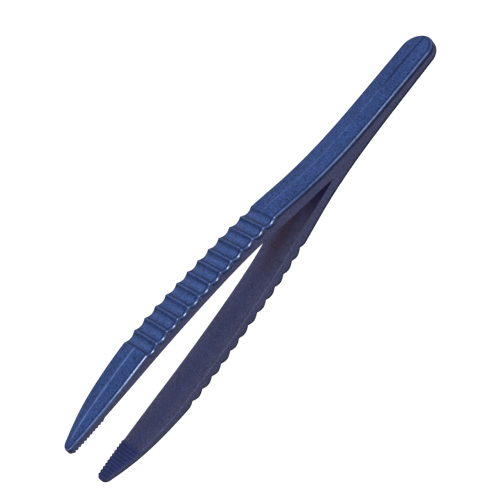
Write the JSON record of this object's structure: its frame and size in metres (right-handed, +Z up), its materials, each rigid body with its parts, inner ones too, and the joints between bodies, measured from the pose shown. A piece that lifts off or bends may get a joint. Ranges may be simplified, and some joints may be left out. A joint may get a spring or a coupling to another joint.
{
  "type": "print tongs",
  "caption": "Plastic darkroom print tongs: a flat handle forking into two springy bowed arms with ribbed finger grips and serrated tips.",
  "frame": {"origin": "on the lower side face, midway along the length and midway between the arms", "axes": "+X from the heel towards the tips, front arm on -Y, rear arm on +Y, +Z up across the width, so the tongs lie on one flat side"},
  "size_m": [0.2, 0.032, 0.0145],
  "materials": {
    "moulded_plastic": "navy blue moulded polypropylene, satin gloss with rounded bright edges, slightly greyer side faces and a fine mould line",
    "serrated_plastic": "the same navy plastic, duller where it is cut into fine teeth"
  },
  "bodies": {
    "handle": {"handle": "moulded_plastic"},
    "front_arm": {"front_arm": "moulded_plastic", "front_jaw_pad": "serrated_plastic"},
    "rear_arm": {"rear_arm": "moulded_plastic", "rear_jaw_pad": "serrated_plastic"}
  },
  "joints": [
    {"name": "front_arm_flex", "type": "hinge", "parent": "handle", "child": "front_arm", "pos_m": [-0.028, -0.00374, 0.00725], "axis": [0, 0, 1], "range_deg": [0, 4], "stiffness_Nm_per_rad": 2.6},
    {"name": "rear_arm_flex", "type": "hinge", "parent": "handle", "child": "rear_arm", "pos_m": [-0.028, 0.00374, 0.00725], "axis": [0, 0, 1], "range_deg": [-4, 0], "stiffness_Nm_per_rad": 2.6}
  ],
  "couplings": [
    {"joint": "rear_arm_flex", "follows": "front_arm_flex", "ratio": -1}
  ]
}
